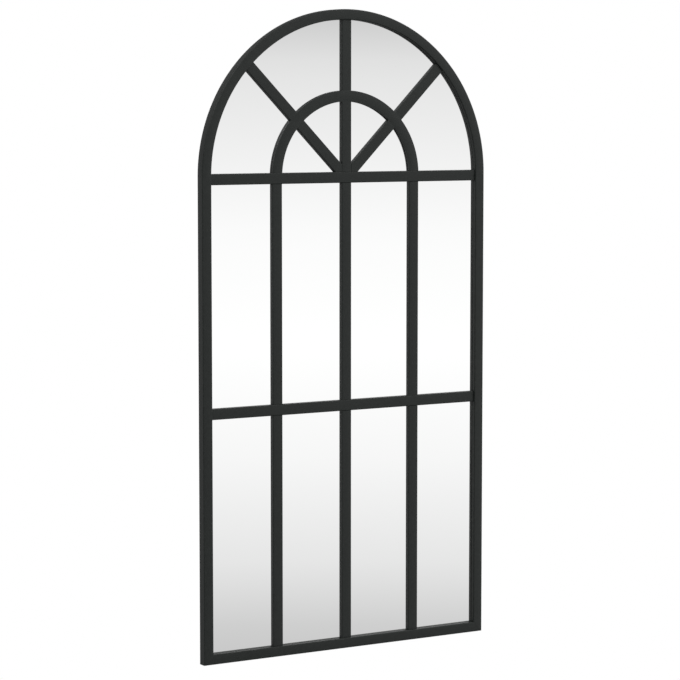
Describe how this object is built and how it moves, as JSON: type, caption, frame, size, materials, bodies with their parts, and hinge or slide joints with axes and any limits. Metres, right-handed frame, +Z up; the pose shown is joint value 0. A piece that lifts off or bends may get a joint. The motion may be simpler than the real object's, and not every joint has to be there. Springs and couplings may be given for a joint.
{
  "type": "arched wall mirror",
  "caption": "Tall arched wall mirror: black steel frame with window-style glazing bars over mirror glass, a hardboard back and swinging rings to hang it by.",
  "frame": {"origin": "on the wall plane, midway between the two points where the hanging rings bear on their hooks", "axes": "+X to the right seen from the front, +Y from the mirror's face towards the wall, +Z up"},
  "size_m": [0.51, 0.021, 0.9999],
  "materials": {
    "frame_black": "satin black powder coat on square steel tube",
    "bar_black": "satin black powder coat on flat steel bar",
    "mirror_glass": "clear float glass, silvered",
    "hardboard": "smooth brown hardboard",
    "zinc_sheet": "bright zinc plated steel sheet",
    "ring_wire": "bright zinc plated steel wire",
    "screw_zinc": "bright zinc plated steel",
    "bumper_rubber": "matt black rubber"
  },
  "bodies": {
    "mirror": {"left_stile": "frame_black", "right_stile": "frame_black", "bottom_rail": "frame_black", "arch_head": "frame_black", "transom": "bar_black", "mid_rail": "bar_black", "lower_mullion_left": "bar_black", "lower_mullion_centre": "bar_black", "lower_mullion_right": "bar_black", "upper_mullion_left": "bar_black", "upper_mullion_centre": "bar_black", "upper_mullion_right": "bar_black", "inner_arch": "bar_black", "inner_spoke_left": "bar_black", "inner_spoke_centre": "bar_black", "inner_spoke_right": "bar_black", "outer_spoke_left": "bar_black", "outer_spoke_centre": "bar_black", "outer_spoke_right": "bar_black", "mirror_glass": "mirror_glass", "back_panel": "hardboard", "retaining_clips": "zinc_sheet", "left_hanger_strap": "zinc_sheet", "right_hanger_strap": "zinc_sheet", "clip_screws": "screw_zinc", "left_hanger_screws": "screw_zinc", "right_hanger_screws": "screw_zinc", "left_wall_bumper": "bumper_rubber", "right_wall_bumper": "bumper_rubber"},
    "left_ring": {"left_hanger_ring": "ring_wire"},
    "right_ring": {"right_hanger_ring": "ring_wire"}
  },
  "joints": [
    {"name": "left_ring_swing", "type": "hinge", "parent": "mirror", "child": "left_ring", "pos_m": [-0.245, -0.00305, -0.0111], "axis": [-1, 0, 0], "range_deg": [0, 175]},
    {"name": "right_ring_swing", "type": "hinge", "parent": "mirror", "child": "right_ring", "pos_m": [0.245, -0.00305, -0.0111], "axis": [-1, 0, 0], "range_deg": [0, 175]}
  ]
}
